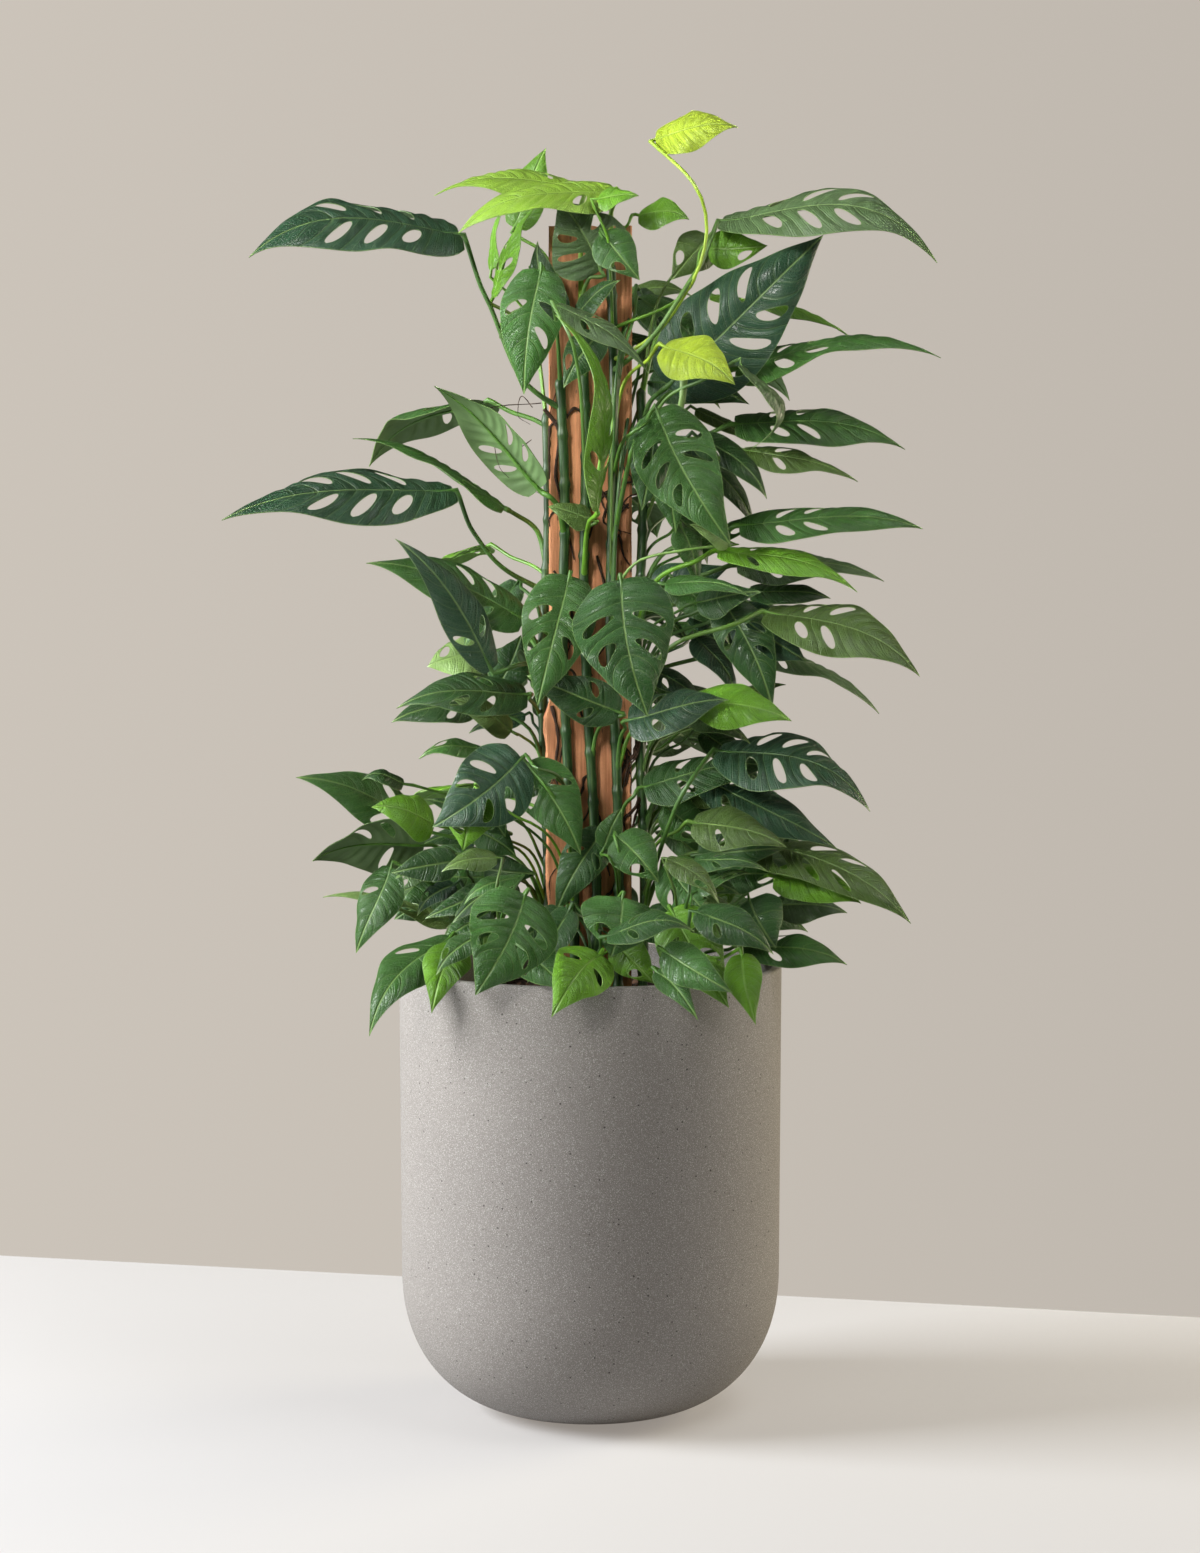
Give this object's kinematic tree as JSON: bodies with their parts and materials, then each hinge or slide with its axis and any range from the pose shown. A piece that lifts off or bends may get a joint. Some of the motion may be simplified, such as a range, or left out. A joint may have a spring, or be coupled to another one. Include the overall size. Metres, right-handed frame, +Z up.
{
  "type": "monstera adansonii in a planter",
  "caption": "Swiss cheese plant with holed leaves on stems along a rough wooden board, standing in a tall round-bottomed planter filled with soil.",
  "frame": {"origin": "middle of the planter's flat base", "axes": "+Z up the plant, the front of the plant towards -Y, +X to the right as seen from the front"},
  "size_m": [0.6565, 0.4323, 1.2139],
  "materials": {
    "planter_body": "matt cast stoneware, fine pale and dark speckle",
    "potting_soil": "moist crumbly peat and bark",
    "board_wood": "rough sawn, red-brown, splintered edge",
    "foliage": "waxy green blades, smooth green stalks"
  },
  "bodies": {
    "root": {"planter": "planter_body", "soil": "potting_soil", "board": "board_wood", "stem_front_left": "foliage", "stem_front_middle": "foliage", "stem_front_right": "foliage", "stem_left": "foliage", "stem_right": "foliage", "stem_back_left": "foliage", "stem_back_right": "foliage", "shoot_front": "foliage", "shoot_front_left": "foliage", "shoot_front_right": "foliage", "shoot_side_left": "foliage", "shoot_side_right": "foliage", "shoot_back": "foliage"}
  },
  "joints": []
}
